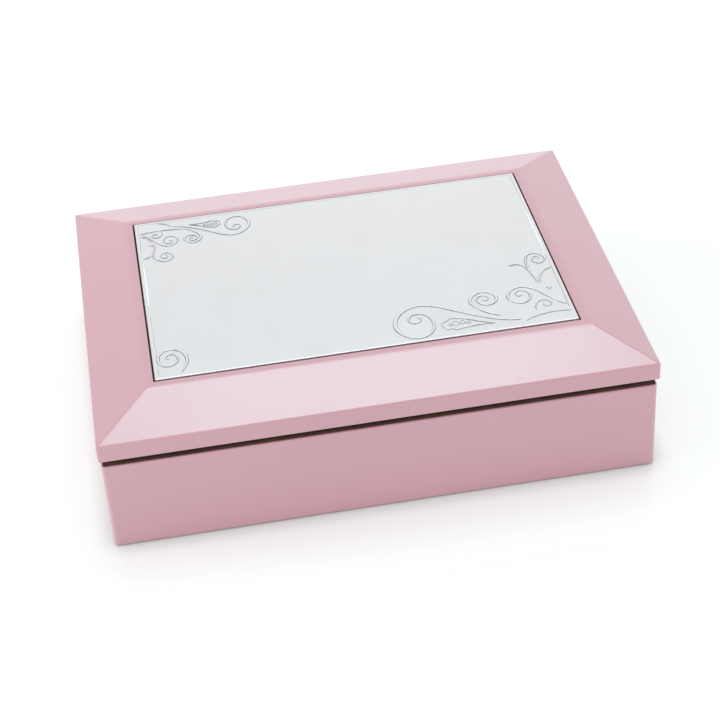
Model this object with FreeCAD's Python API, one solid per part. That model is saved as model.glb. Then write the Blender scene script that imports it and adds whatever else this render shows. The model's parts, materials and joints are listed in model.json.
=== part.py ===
import FreeCAD, Part
import math
import os

# Ballerina jewellery box, closed. Millimetres. Origin: centre of the resting face.
# X is the long way, Y runs from the front (-) to the hinges (+), Z is up.

V = FreeCAD.Vector

# lid
LID_X = 230.0
LID_Y = 177.0
LID_Z0 = 45.0
LID_BAND_Z = 53.1
LID_TOP_Z = 60.5
SLOPE_X = 22.8
SLOPE_Y = 24.6
CREST_R = 8.0
HIP_R = 3.0
LID_EDGE_R = 1.0
OPEN_X = 26.0
OPEN_Y = 27.75
LID_REBATE = 19.0
LID_WALL = 10.0
LID_LEDGE_Z = 51.0
PANEL_Z0 = 54.0
PANEL_Z1 = 57.0
PLATE_TOP_Z = 60.9
PLATE_T = 1.0
PLATE_GAP = 0.8
MIRROR_X = 154.0
MIRROR_Y = 100.0
MIRROR_LIP = 2.0

# base
BASE_X = 228.6
BASE_Y = 175.6
BASE_Z0 = 0.4
RIM_Z = 42.0
BOARD_T = 9.0
REBATE_W = 5.0
FLOOR_Z = 4.5
LINING_T = 1.0
FLANGE_IN = 0.9
FELT_IN = 2.0
IN_X = BASE_X / 2 - BOARD_T
IN_Y = BASE_Y / 2 - BOARD_T
CLEAR_X = IN_X - LINING_T
CLEAR_Y = IN_Y - LINING_T
BED_Z = FLOOR_Z + LINING_T

# inner boards
DIV_IN = 24.5
DIV_OUT = 27.5
DIV_TOP = 38.0
HOUSE_Y0 = 1.0
HOUSE_Y1 = 3.5
DECK_Z0 = 28.0
DECK_Z1 = 31.0
ROLL_W = 13.0
ROLL_PITCH = 13.5
ROLL_TOP = 31.5
ROLLS = 5

# hinges
HINGE_X = 70.0
LEAF_L = 30.0
LEAF_T = 1.0
LEAF_Y0 = 80.0
AXIS_Y = 89.6
AXIS_Z = 43.5
KNUCKLE_R = 1.6
PIN_R = 0.8
SCREW_X = 10.0
SCREW_Y = 84.0

# movement
DRIVE_Y = 18.0
WELL_R = 13.0
BEDPLATE_Z0 = 12.0
BEDPLATE_Z1 = 13.5
CYL_Z = 20.5
CROWN_R = 12.0
CROWN_TEETH = 40
CYL_R = 5.5
CYL_Y0 = 34.0
CYL_Y1 = 58.5
GOV_X = -7.9
FLY_X = -14.9
LEVER_Y = 31.0
LEVER_Z = 26.0
PLUNGER_Y = 60.0
ARBOR_R = 1.6
RATCHET_TEETH = 12
CLICK_X = 6.2
CLICK_Y = 25.0

# dancer
PIVOT_Z = 37.0
BEND_R = 4.5
COIL_R = 2.1
WIRE_R = 0.4
TUTU_R = 12.3


def block(x0, x1, y0, y1, z0, z1):
    return Part.makeBox(x1 - x0, y1 - y0, z1 - z0, V(x0, y0, z0))


def rod(r, x, y, z0, z1):
    return Part.makeCylinder(r, z1 - z0, V(x, y, z0), V(0, 0, 1))


def rod_x(r, x0, x1, y, z):
    return Part.makeCylinder(r, x1 - x0, V(x0, y, z), V(1, 0, 0))


def rod_y(r, y0, y1, x, z):
    return Part.makeCylinder(r, y1 - y0, V(x, y0, z), V(0, 1, 0))


def prism(points, z0, z1):
    ring = [V(x, y, z0) for x, y in points]
    face = Part.Face(Part.makePolygon(ring + ring[:1]))
    return face.extrude(V(0, 0, z1 - z0))


def prism_x(points, x0, x1):
    ring = [V(x0, y, z) for y, z in points]
    face = Part.Face(Part.makePolygon(ring + ring[:1]))
    return face.extrude(V(x1 - x0, 0, 0))


def prism_y(points, y0, y1):
    ring = [V(x, y0, z) for x, z in points]
    face = Part.Face(Part.makePolygon(ring + ring[:1]))
    return face.extrude(V(0, y1 - y0, 0))


def turned(profile, x, y):
    ring = [V(x + r, y, z) for r, z in profile]
    face = Part.Face(Part.makePolygon(ring + ring[:1]))
    return face.revolve(V(x, y, 0), V(0, 0, 1), 360)


def joined(shapes):
    first = shapes[0]
    return first.fuse(shapes[1:]).removeSplitter()


def save(node, shapes):
    solids = shapes if isinstance(shapes, list) else [shapes]
    out = solids[0] if len(solids) == 1 else Part.makeCompound(solids)
    out.exportStep("parts/" + node + ".step")
    print(node, round(out.Volume, 1), len(out.Solids), out.isValid())


def edges_at(shape, test):
    return [e for e in shape.Edges if test(e)]


def mid(edge):
    return edge.valueAt((edge.FirstParameter + edge.LastParameter) / 2)


def wedge(side, half_x, half_y, dx, dy):
    # one side's share of a mitred frame, cut along the line from corner to (dx, dy) inside it
    ox, oy = half_x + dx, half_y + dy
    ix, iy = half_x - 2 * dx, half_y - 2 * dy
    if side == "front":
        return [(-ox, -oy), (ox, -oy), (ix, -iy), (-ix, -iy)]
    if side == "back":
        return [(-ix, iy), (ix, iy), (ox, oy), (-ox, oy)]
    if side == "left":
        return [(-ox, -oy), (-ix, -iy), (-ix, iy), (-ox, oy)]
    return [(ix, -iy), (ox, -oy), (ox, oy), (ix, iy)]


def screw(x, y, z, up, length, head_r=2.0, shank_r=0.9, sink=1.0):
    # countersunk screw: head face at z, shank running away from it
    d = 1 if up else -1
    head = Part.makeCone(head_r, shank_r, sink, V(x, y, z), V(0, 0, d))
    shank = Part.makeCylinder(shank_r, length, V(x, y, z + d * sink), V(0, 0, d))
    slot_a = block(x - 1.3, x + 1.3, y - 0.2, y + 0.2, z - 0.35, z + 0.35)
    slot_b = block(x - 0.2, x + 0.2, y - 1.3, y + 1.3, z - 0.35, z + 0.35)
    return joined([head, shank]).cut([slot_a, slot_b])


def screw_holes(points, z, up, length):
    cuts = []
    for x, y in points:
        d = 1 if up else -1
        cuts.append(Part.makeCone(2.0, 0.9, 1.0, V(x, y, z), V(0, 0, d)))
        cuts.append(Part.makeCylinder(0.9, length, V(x, y, z + d), V(0, 0, d)))
    return cuts


def hinge_points():
    out = []
    for hx in (-HINGE_X, HINGE_X):
        out += [(hx - SCREW_X, SCREW_Y), (hx + SCREW_X, SCREW_Y)]
    return out


def gear_ring(teeth, pitch_r, addendum, dedendum, thick, offset_deg):
    # tooth outline points, flanks narrowing from root to tip
    pts = []
    step = 2 * math.pi / teeth
    root = pitch_r - dedendum
    tip = pitch_r + addendum
    half_p = thick / 2 / pitch_r
    half_r = (thick * 1.3) / 2 / root
    half_t = (thick * 0.42) / 2 / tip
    for k in range(teeth):
        a = math.radians(offset_deg) + k * step
        for r, h in ((root, -half_r), (pitch_r, -half_p), (tip, -half_t), (tip, half_t), (pitch_r, half_p), (root, half_r)):
            pts.append((r * math.cos(a + h), r * math.sin(a + h)))
    return pts


def spur(teeth, pitch_r, addendum, dedendum, thick, offset_deg, x, z, y0, y1):
    pts = gear_ring(teeth, pitch_r, addendum, dedendum, thick, offset_deg)
    return prism_y([(x + px, z + pz) for px, pz in pts], y0, y1)


def base_envelope():
    env = block(-BASE_X / 2, BASE_X / 2, -BASE_Y / 2, BASE_Y / 2, BASE_Z0, RIM_Z)
    upright = edges_at(env, lambda e: abs(mid(e).z - (BASE_Z0 + RIM_Z) / 2) < 1)
    env = env.makeFillet(2.0, upright)
    flat = edges_at(env, lambda e: e.BoundBox.ZLength < 0.01)
    return env.makeFillet(0.6, flat)


def base_boards():
    hollow = block(-IN_X, IN_X, -IN_Y, IN_Y, BASE_Z0 - 1, RIM_Z + 1)
    rebate = block(-IN_X - REBATE_W, IN_X + REBATE_W, -IN_Y - REBATE_W, IN_Y + REBATE_W, BASE_Z0 - 1, FLOOR_Z)
    pilots = [rod(0.9, x, y, RIM_Z - 6, RIM_Z + 1) for x, y in hinge_points()]
    shell = base_envelope().cut([hollow, rebate] + pilots)
    for side in ("front", "back", "left", "right"):
        cutter = prism(wedge(side, BASE_X / 2, BASE_Y / 2, BOARD_T, BOARD_T), 0, RIM_Z + 2)
        save("base_" + side + "_board", shell.common(cutter))


def bottom_parts():
    g = 0.1
    px, py = IN_X + REBATE_W - g, IN_Y + REBATE_W - g
    panel = block(-px, px, -py, py, BASE_Z0, FLOOR_Z).cut(rod(WELL_R, 0, DRIVE_Y, 0, FLOOR_Z + 1))
    save("bottom_panel", panel)
    fx, fy = BASE_X / 2 - FELT_IN, BASE_Y / 2 - FELT_IN
    felt = block(-fx, fx, -fy, fy, 0, BASE_Z0).cut(rod(WELL_R + 0.5, 0, DRIVE_Y, -1, BASE_Z0 + 1))
    save("felt_base", felt)
    floor = block(-CLEAR_X, CLEAR_X, -CLEAR_Y, CLEAR_Y, FLOOR_Z, BED_Z)
    save("floor_lining", floor.cut(block(-DIV_IN, DIV_IN, HOUSE_Y1, CLEAR_Y + 1, FLOOR_Z - 1, BED_Z + 1)))


def wall_lining():
    outer = block(-IN_X, IN_X, -IN_Y, IN_Y, FLOOR_Z, RIM_Z)
    fx, fy = BASE_X / 2 - FLANGE_IN, BASE_Y / 2 - FLANGE_IN
    flange = block(-fx, fx, -fy, fy, RIM_Z, RIM_Z + LINING_T)
    inner = block(-CLEAR_X, CLEAR_X, -CLEAR_Y, CLEAR_Y, FLOOR_Z - 1, RIM_Z + 2)
    half = LEAF_L / 2 + 0.3
    notches = []
    for hx in (-HINGE_X, HINGE_X):
        notches.append(block(hx - half, hx + half, LEAF_Y0 - 0.3, BASE_Y, RIM_Z, RIM_Z + 2))
    save("wall_lining", joined([outer, flange]).cut([inner] + notches))
    domes = []
    for sx in (-1, 1):
        for sy in (-1, 1):
            x, y, z = sx * 108.3, sy * 81.8, RIM_Z + LINING_T
            profile = [(0, z), (3.4, z), (3.4, z + 0.6), (3.0, z + 1.2), (2.2, z + 1.6), (1.2, z + 1.8), (0, z + 1.85)]
            domes.append(turned(profile, x, y))
    save("lid_bumpers", domes)


def inner_boards():
    save("divider_left", block(-DIV_OUT, -DIV_IN, -CLEAR_Y, CLEAR_Y, BED_Z, DIV_TOP))
    save("divider_right", block(DIV_IN, DIV_OUT, -CLEAR_Y, CLEAR_Y, BED_Z, DIV_TOP))
    save("housing_front_wall", block(-DIV_IN, DIV_IN, HOUSE_Y0, HOUSE_Y1, BED_Z, DECK_Z0))
    deck = block(-DIV_IN, DIV_IN, HOUSE_Y0, CLEAR_Y, DECK_Z0, DECK_Z1)
    holes = [rod(3.4, 0, DRIVE_Y, 20, 40), rod(1.35, FLY_X, PLUNGER_Y, 20, 40)]
    save("deck_panel", deck.cut(holes))
    save("cross_divider_rolls", block(-CLEAR_X, -DIV_OUT, -9.0, -6.0, BED_Z, DIV_TOP - 2))
    save("cross_divider_left", block(-CLEAR_X, -DIV_OUT, 34.5, 37.5, BED_Z, DIV_TOP - 2))
    save("cross_divider_right_front", block(DIV_OUT, CLEAR_X, -27.5, -24.5, BED_Z, DIV_TOP - 2))
    save("cross_divider_right_back", block(DIV_OUT, CLEAR_X, 24.5, 27.5, BED_Z, DIV_TOP - 2))
    save("cross_divider_centre", block(-DIV_IN, DIV_IN, -53.5, -50.5, BED_Z, 22.0))


def ring_rolls():
    x0, x1 = -CLEAR_X + 0.5, -DIV_OUT - 0.5
    for k in range(ROLLS):
        y0 = -CLEAR_Y + 0.4 + k * ROLL_PITCH
        y1 = y0 + ROLL_W
        roll = block(x0, x1, y0, y1, BED_Z, ROLL_TOP)
        top = edges_at(roll, lambda e: abs(mid(e).z - ROLL_TOP) < 0.01 and e.BoundBox.XLength > 5)
        roll = roll.makeFillet(ROLL_W / 2 - 0.2, top)
        save("ring_roll_" + str(k + 1), roll)


def lid_envelope():
    hx, hy = LID_X / 2, LID_Y / 2
    side = [(-hx, LID_Z0), (hx, LID_Z0), (hx, LID_BAND_Z), (hx - SLOPE_X, LID_TOP_Z)]
    side += [(-hx + SLOPE_X, LID_TOP_Z), (-hx, LID_BAND_Z)]
    end = [(-hy, LID_Z0), (hy, LID_Z0), (hy, LID_BAND_Z), (hy - SLOPE_Y, LID_TOP_Z)]
    end += [(-hy + SLOPE_Y, LID_TOP_Z), (-hy, LID_BAND_Z)]
    hip = prism_y(side, -hy, hy).common(prism_x(end, -hx, hx)).removeSplitter()
    crest = edges_at(hip, lambda e: abs(mid(e).z - LID_TOP_Z) < 0.01)
    soft = hip.makeFillet(CREST_R, crest)
    slants = edges_at(soft, lambda e: e.BoundBox.ZMax > LID_BAND_Z + 1 and e.BoundBox.ZLength > 6)
    soft = soft.makeFillet(HIP_R, slants)
    lower = edges_at(soft, lambda e: e.BoundBox.ZMax < LID_BAND_Z + 0.01)
    return soft.makeFillet(LID_EDGE_R, lower)


def lid_parts():
    hx, hy = LID_X / 2, LID_Y / 2
    ox, oy = hx - OPEN_X, hy - OPEN_Y
    rx, ry = hx - LID_REBATE, hy - LID_REBATE
    wx, wy = hx - LID_WALL, hy - LID_WALL
    opening = block(-ox, ox, -oy, oy, PANEL_Z1 - 1, LID_TOP_Z + 1)
    rebate = block(-rx, rx, -ry, ry, LID_LEDGE_Z - 1, PANEL_Z1)
    hollow = block(-wx, wx, -wy, wy, LID_Z0 - 1, LID_LEDGE_Z)
    pilots = [rod(0.9, x, y, LID_Z0 - 1, LID_Z0 + 5) for x, y in hinge_points()]
    frame = lid_envelope().cut([opening, rebate, hollow] + pilots)
    for side in ("front", "back", "left", "right"):
        cutter = prism(wedge(side, hx, hy, SLOPE_X, SLOPE_Y), LID_Z0 - 1, LID_TOP_Z + 1)
        save("lid_" + side + "_rail", frame.common(cutter))
    save("lid_panel", block(-rx, rx, -ry, ry, PANEL_Z0, PANEL_Z1))
    plate_z0 = PLATE_TOP_Z - PLATE_T
    px, py = ox - PLATE_GAP, oy - PLATE_GAP
    save("plate_backing", block(-px, px, -py, py, PANEL_Z1, plate_z0))
    plate = block(-px, px, -py, py, plate_z0, PLATE_TOP_Z)
    corners = edges_at(plate, lambda e: e.BoundBox.ZLength > 0.5)
    plate = plate.makeFillet(0.5, corners)
    top = edges_at(plate, lambda e: abs(mid(e).z - PLATE_TOP_Z) < 0.01)
    save("silver_plate", plate.makeFillet(0.35, top))

    mx, my = MIRROR_X / 2, MIRROR_Y / 2
    sheet = block(-wx + 0.2, wx - 0.2, -wy + 0.2, wy - 0.2, LID_LEDGE_Z - 0.8, LID_LEDGE_Z)
    skirt = block(-wx, wx, -wy, wy, LID_Z0 + 0.2, LID_LEDGE_Z)
    skirt = skirt.cut(block(-wx + 0.8, wx - 0.8, -wy + 0.8, wy - 0.8, LID_Z0 - 1, LID_LEDGE_Z + 1))
    board = block(-rx, rx, -ry, ry, LID_LEDGE_Z, PANEL_Z0)
    window = block(-mx + MIRROR_LIP, mx - MIRROR_LIP, -my + MIRROR_LIP, my - MIRROR_LIP, 40, LID_LEDGE_Z + 0.5)
    pocket = block(-mx, mx, -my, my, LID_LEDGE_Z, LID_LEDGE_Z + 2)
    save("lid_lining", joined([board, sheet, skirt]).cut([window, pocket]))
    save("mirror", block(-mx, mx, -my, my, LID_LEDGE_Z, LID_LEDGE_Z + 2))


def knuckle(x0, x1, bore):
    return rod_x(KNUCKLE_R, x0, x1, AXIS_Y, AXIS_Z).cut(rod_x(bore, x0 - 1, x1 + 1, AXIS_Y, AXIS_Z))


def hinge(hx, name):
    x0, x1 = hx - LEAF_L / 2, hx + LEAF_L / 2
    lug_len = 8.0
    inner0, inner1 = x0 + lug_len + 0.3, x1 - lug_len - 0.3
    bore = rod_x(PIN_R, x0 - 1, x1 + 1, AXIS_Y, AXIS_Z)
    points = [(hx - SCREW_X, SCREW_Y), (hx + SCREW_X, SCREW_Y)]

    leaf = block(x0, x1, LEAF_Y0, BASE_Y / 2, RIM_Z, RIM_Z + LEAF_T)
    arms = [block(a, b, BASE_Y / 2 - 0.5, AXIS_Y - 0.6, RIM_Z, RIM_Z + LEAF_T) for a, b in ((x0, x0 + lug_len), (x1 - lug_len, x1))]
    rolls = [rod_x(KNUCKLE_R, a, b, AXIS_Y, AXIS_Z) for a, b in ((x0, x0 + lug_len), (x1 - lug_len, x1))]
    low = joined([leaf] + arms + rolls).cut([bore] + screw_holes(points, RIM_Z + LEAF_T, False, 4))
    save("hinge_" + name + "_base_leaf", low)

    z1 = AXIS_Z + AXIS_Z - RIM_Z
    leaf = block(x0, x1, LEAF_Y0, BASE_Y / 2, z1 - LEAF_T, z1)
    arm = block(inner0, inner1, BASE_Y / 2 - 0.5, AXIS_Y - 0.6, z1 - LEAF_T, z1)
    roll = rod_x(KNUCKLE_R, inner0, inner1, AXIS_Y, AXIS_Z)
    lug_ring = [(AXIS_Y + 0.6, AXIS_Z + 0.6), (AXIS_Y + 0.6, AXIS_Z - 1.55), (AXIS_Y + 2.7, AXIS_Z - 1.28)]
    lug_ring += [(AXIS_Y + 2.7, AXIS_Z - 0.6), (AXIS_Y + 1.4, AXIS_Z + 0.6)]
    lug = prism_x(lug_ring, hx - 3, hx + 3)
    free = rod_x(PIN_R + 0.05, x0 - 1, x1 + 1, AXIS_Y, AXIS_Z)
    top = joined([leaf, arm, roll, lug]).cut([free] + screw_holes(points, z1 - LEAF_T, True, 4))
    save("hinge_" + name + "_lid_leaf", top)
    return rod_x(PIN_R, x0, x1, AXIS_Y, AXIS_Z)


def hinges():
    pins = [hinge(-HINGE_X, "left"), hinge(HINGE_X, "right")]
    save("hinge_pins", pins)
    save("hinge_base_screws", [screw(x, y, RIM_Z + LEAF_T, False, 4.5) for x, y in hinge_points()])
    save("hinge_lid_screws", [screw(x, y, LID_Z0 - LEAF_T, True, 4.5) for x, y in hinge_points()])


def riser_and_bedplate():
    riser = block(-22, 23, 4.2, 74, FLOOR_Z, BEDPLATE_Z0).cut(rod(WELL_R, 0, DRIVE_Y, 0, 20))
    mounts = [(-17, 7.5), (18, 7.5), (-17, 70.5), (18, 70.5)]
    comb_mounts = [(17.5, 39), (17.5, 53.5)]
    riser = riser.cut([rod(0.9, x, y, 7, 13) for x, y in mounts])
    save("movement_riser", riser)

    plate = block(-20, 22, 4.8, 73, BEDPLATE_Z0, BEDPLATE_Z1)
    boss = rod(4.0, 0, DRIVE_Y, BEDPLATE_Z1 - 0.5, 15.1)
    front = block(-7, 7, 31.6, 33.2, BEDPLATE_Z1 - 0.5, 24.5)
    middle = block(-18, -6.7, 46.5, 47.7, BEDPLATE_Z1 - 0.5, 24.5)
    rear = block(-18, 7, 64.8, 66.4, BEDPLATE_Z1 - 0.5, 25.0)
    comb_block = block(12.5, 21, 34, 58.5, BEDPLATE_Z1 - 0.5, 19.0)
    ears = [block(a, b, 29.6, 32.4, BEDPLATE_Z1 - 0.5, 27.2) for a, b in ((-18.2, -16.8), (-13.0, -11.6))]
    pivot = rod_x(0.6, -18.2, -11.6, LEVER_Y, LEVER_Z)
    stud = rod(0.8, CLICK_X, CLICK_Y, 10.0, BEDPLATE_Z0 + 0.5)
    body = joined([plate, boss, front, middle, rear, comb_block, pivot, stud] + ears)
    cuts = [rod(ARBOR_R + 0.05, 0, DRIVE_Y, 10, 17), rod_y(0.96, 30, 70, 0, CYL_Z)]
    cuts += [rod_y(0.66, 40, 70, GOV_X, CYL_Z), rod_y(0.66, 40, 70, FLY_X, CYL_Z)]
    cuts += [rod(0.9, x, y, 10, 16) for x, y in mounts]
    cuts += [rod(0.8, x, y, 14, 20) for x, y in comb_mounts]
    save("bedplate", body.cut(cuts))

    screws = []
    for x, y in mounts:
        head = rod(2.0, x, y, BEDPLATE_Z1, BEDPLATE_Z1 + 1.3)
        shank = rod(0.9, x, y, BEDPLATE_Z1 - 6, BEDPLATE_Z1)
        screws.append(joined([head, shank]).cut(block(x - 2.5, x + 2.5, y - 0.25, y + 0.25, 14.3, 16)))
    for x, y in comb_mounts:
        head = rod(1.8, x, y, 20.8, 22.0)
        shank = rod(0.8, x, y, 14.5, 20.8)
        screws.append(joined([head, shank]).cut(block(x - 2.5, x + 2.5, y - 0.25, y + 0.25, 21.5, 23)))
    save("movement_screws", screws)

    base = block(12.5, 21, 34.4, 58.2, 19.0, 20.8)
    teeth = []
    for k in range(18):
        y = 34.5 + 1.3 * k
        teeth.append(block(5.95, 12.6, y, y + 0.95, 20.2, 20.8))
    comb = joined([base] + teeth).cut([rod(0.8, x, y, 18, 22) for x, y in comb_mounts])
    save("comb", comb)


def barrel():
    solids = [rod(13.2, 0, DRIVE_Y, 15.2, 16.8), rod(10.5, 0, DRIVE_Y, 15.2, 26.5)]
    solids += [rod(2.5, 0, DRIVE_Y, 26.0, 32.1), rod(1.5, 0, DRIVE_Y, 31.5, 32.9)]
    hollows = [rod(9.7, 0, DRIVE_Y, 16.2, 25.4), rod(ARBOR_R + 0.05, 0, DRIVE_Y, 14, 17)]
    body = joined(solids).cut(hollows)
    teeth = []
    pitch_z = CYL_Z - 3.0
    w0, w1 = 0.62, 0.20
    for k in range(CROWN_TEETH):
        ring = [(-w0, 16.6), (w0, 16.6), (w1, pitch_z + 0.45), (-w1, pitch_z + 0.45)]
        tooth = prism_y(ring, CROWN_R - 1.1, CROWN_R + 1.0)
        tooth.rotate(V(0, 0, 0), V(0, 0, 1), 360.0 * k / CROWN_TEETH)
        tooth.translate(V(0, DRIVE_Y, 0))
        teeth.append(tooth)
    save("barrel", body.fuse(teeth).removeSplitter())

    turns = 8
    r0, pitch, thick = 2.7, 0.82, 0.3
    outer, inner = [], []
    for k in range(turns * 24 + 1):
        a = 2 * math.pi * k / 24
        r = r0 + pitch * k / 24
        outer.append((r * math.cos(a), DRIVE_Y + r * math.sin(a)))
        inner.append(((r - thick) * math.cos(a), DRIVE_Y + (r - thick) * math.sin(a)))
    save("mainspring", prism(outer + inner[::-1], 16.6, 25.0))


def winding():
    arbor = joined([rod(ARBOR_R, 0, DRIVE_Y, 4.0, 25.2), rod(2.1, 0, DRIVE_Y, 16.4, 25.2)])
    save("winding_arbor", arbor)
    pts = []
    for k in range(RATCHET_TEETH):
        for j in range(5):
            a = math.radians(30 * k + 7.5 * j - (0.01 if j == 4 else 0))
            r = 4.2 + 0.8 * j / 4
            pts.append((r * math.cos(a), DRIVE_Y + r * math.sin(a)))
    ratchet = prism(pts, 10.3, 11.5).cut(rod(ARBOR_R, 0, DRIVE_Y, 9, 13))
    save("ratchet_wheel", ratchet)
    x, y = 0, DRIVE_Y
    ring = [(4.62, y + 0.3), (5.6, y + 0.3), (7.3, y + 5.6), (7.7, y + 7.2), (6.9, y + 8.4), (5.4, y + 8.2)]
    ring += [(4.9, y + 6.8), (5.3, y + 4.0)]
    click = prism(ring, 10.3, 11.5).cut(rod(0.86, CLICK_X, CLICK_Y, 9, 13))
    save("ratchet_click", click)
    wings = block(-10, 10, y - 0.9, y + 0.9, 2.0, 9.0)
    corners = edges_at(wings, lambda e: e.BoundBox.YLength > 1.5)
    wings = wings.makeFillet(3.0, corners)
    waist = [rod_y(1.6, y - 3, y + 3, s * 6.0, 5.5) for s in (-1, 1)]
    hub = rod(3.0, x, y, 2.6, 9.6)
    key = joined([wings.cut(waist), hub]).cut(rod(ARBOR_R, x, y, 4.0, 12))
    save("winding_key", key)


def cylinder_and_governor():
    pinion = spur(10, 3.0, 0.5, 0.72, 0.80, 0.0, 0, CYL_Z, 29.0, 31.2)
    arbor = rod_y(0.9, 30.5, 66.4, 0, CYL_Z)
    drum = rod_y(CYL_R, CYL_Y0, CYL_Y1, 0, CYL_Z)
    wheel = spur(30, 5.925, 0.32, 0.46, 0.54, 0.0, 0, CYL_Z, 62.4, 64.0)
    pins = []
    for tooth in range(18):
        y = 34.5 + 1.3 * tooth + 0.47
        for n in range(3):
            pin = Part.makeBox(0.5, 0.4, 0.5, V(CYL_R - 0.15, y - 0.2, CYL_Z - 0.25))
            angle = 20.0 * ((tooth * 7 + n * 5 + (tooth * n) % 4) % 18) + 9.0
            pin.rotate(V(0, y, CYL_Z), V(0, 1, 0), angle)
            pins.append(pin)
    save("music_cylinder", pinion.fuse([arbor, drum, wheel] + pins).removeSplitter())

    small = spur(10, 1.975, 0.32, 0.46, 0.54, 18.0, GOV_X, CYL_Z, 62.2, 64.2)
    big = spur(30, 5.25, 0.28, 0.42, 0.48, 0.0, GOV_X, CYL_Z, 60.0, 61.4)
    save("governor_wheel", joined([small, big, rod_y(0.6, 46.5, 66.4, GOV_X, CYL_Z)]))

    small = spur(10, 1.75, 0.28, 0.42, 0.48, 18.0, FLY_X, CYL_Z, 59.8, 61.6)
    disc = rod_y(3.2, 62.4, 63.4, FLY_X, CYL_Z)
    vane = block(FLY_X - 4.5, FLY_X + 4.5, 49.0, 57.5, CYL_Z - 0.25, CYL_Z + 0.25)
    save("fly", joined([small, disc, vane, rod_y(0.6, 46.5, 66.4, FLY_X, CYL_Z)]))


def stop_parts():
    strip = block(FLY_X - 1.5, FLY_X + 1.5, LEVER_Y, 64.2, LEVER_Z - 0.4, LEVER_Z + 0.4)
    hub = rod_x(1.2, FLY_X - 1.5, FLY_X + 1.5, LEVER_Y, LEVER_Z)
    pad = block(FLY_X - 1.0, FLY_X + 1.0, 62.0, 63.8, CYL_Z + 3.35, LEVER_Z)
    tail = block(FLY_X - 1.5, FLY_X + 1.5, LEVER_Y - 9.5, LEVER_Y, LEVER_Z - 0.4, LEVER_Z + 0.4)
    weight = block(FLY_X - 1.5, FLY_X + 1.5, LEVER_Y - 18.8, LEVER_Y - 9.0, LEVER_Z - 1.9, LEVER_Z + 1.6)
    lever = joined([strip, hub, pad, tail, weight]).cut(rod_x(0.66, -20, -10, LEVER_Y, LEVER_Z))
    save("stop_lever", lever)
    pin = rod(1.25, FLY_X, PLUNGER_Y, LEVER_Z + 0.4, 50.1)
    tip = edges_at(pin, lambda e: abs(mid(e).z - 50.1) < 0.01)
    save("stop_plunger", pin.makeFillet(0.8, tip))
    bush = joined([rod(3.4, 0, DRIVE_Y, DECK_Z0, DECK_Z1), rod(5.0, 0, DRIVE_Y, DECK_Z1, DECK_Z1 + 0.8)])
    save("spindle_bush", bush.cut(rod(2.6, 0, DRIVE_Y, 20, 40)))


def laid(shape):
    # the dancer is drawn standing on +Z from the pivot, then laid forward as the lid holds her
    shape.rotate(V(0, 0, 0), V(1, 0, 0), 90)
    shape.translate(V(0, DRIVE_Y, PIVOT_Z))
    return shape


def tapered(p0, p1, r0, r1):
    axis = p1.sub(p0)
    limb = Part.makeCone(r0, r1, axis.Length, p0, axis)
    return limb.fuse([Part.makeSphere(r0, p0), Part.makeSphere(r1, p1)])


def dancer():
    rings = []
    for k in range(9):
        a = math.radians(90.0 * k / 8)
        y = DRIVE_Y - BEND_R + BEND_R * math.cos(a)
        z = PIVOT_Z - BEND_R + BEND_R * math.sin(a)
        rings.append(Part.makeTorus(COIL_R, WIRE_R, V(0, y, z), V(0, -math.sin(a), math.cos(a))))
    save("dancer_spring", rings)

    collar = joined([rod(2.5, 0, 0, 4.95, 6.2), rod(1.5, 0, 0, 4.2, 5.2)])
    save("dancer_collar", laid(collar))

    parts = [tapered(V(0, 0, 7.1), V(0, 0, 13), 0.9, 1.5)]
    parts.append(tapered(V(0, 0, 13), V(0.2, 0, 20), 1.5, 1.45))
    parts.append(tapered(V(0.2, 0, 20), V(0.6, 0, 31), 1.45, 2.2))
    parts.append(tapered(V(-0.6, 0, 31), V(-6.2, -3.0, 25), 2.1, 1.5))
    parts.append(tapered(V(-6.2, -3.0, 25), V(-0.9, -1.2, 20), 1.4, 0.8))
    parts.append(tapered(V(0, 0, 31.5), V(0, 0, 35.5), 3.0, 2.3))
    parts.append(tapered(V(0, 0, 35.5), V(0, 0, 42.0), 2.3, 2.8))
    parts.append(tapered(V(0, 0, 42.5), V(0, 0, 47.0), 2.3, 1.1))
    parts.append(Part.makeSphere(3.2, V(0, -0.2, 50.3)))
    parts.append(Part.makeSphere(1.7, V(0, 1.8, 53.3)))
    for s in (-1, 1):
        parts.append(tapered(V(s * 2.4, 0, 44.0), V(s * 6.2, -0.6, 50.5), 1.0, 0.85))
        parts.append(tapered(V(s * 6.2, -0.6, 50.5), V(s * 4.4, -1.0, 57.5), 0.85, 0.7))
        parts.append(tapered(V(s * 4.4, -1.0, 57.5), V(s * 1.0, -1.2, 61.5), 0.7, 0.6))
    figure = parts[0].fuse(parts[1:]).removeSplitter()
    figure = figure.fuse(rod(1.1, 0, 0, 6.2, 7.6)).removeSplitter()
    save("dancer_figure", laid(figure))

    profile = [(3.6, 34.2), (3.6, 33.4), (TUTU_R, 27.0), (TUTU_R, 27.8)]
    save("dancer_tutu", laid(turned(profile, 0, 0)))


os.makedirs("parts", exist_ok=True)
base_boards()
bottom_parts()
wall_lining()
inner_boards()
ring_rolls()
lid_parts()
hinges()
riser_and_bedplate()
barrel()
winding()
cylinder_and_governor()
stop_parts()
dancer()
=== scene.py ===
import json
import math

import bmesh
import bpy
from mathutils import Matrix, Vector, noise
from mathutils.bvhtree import BVHTree


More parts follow.
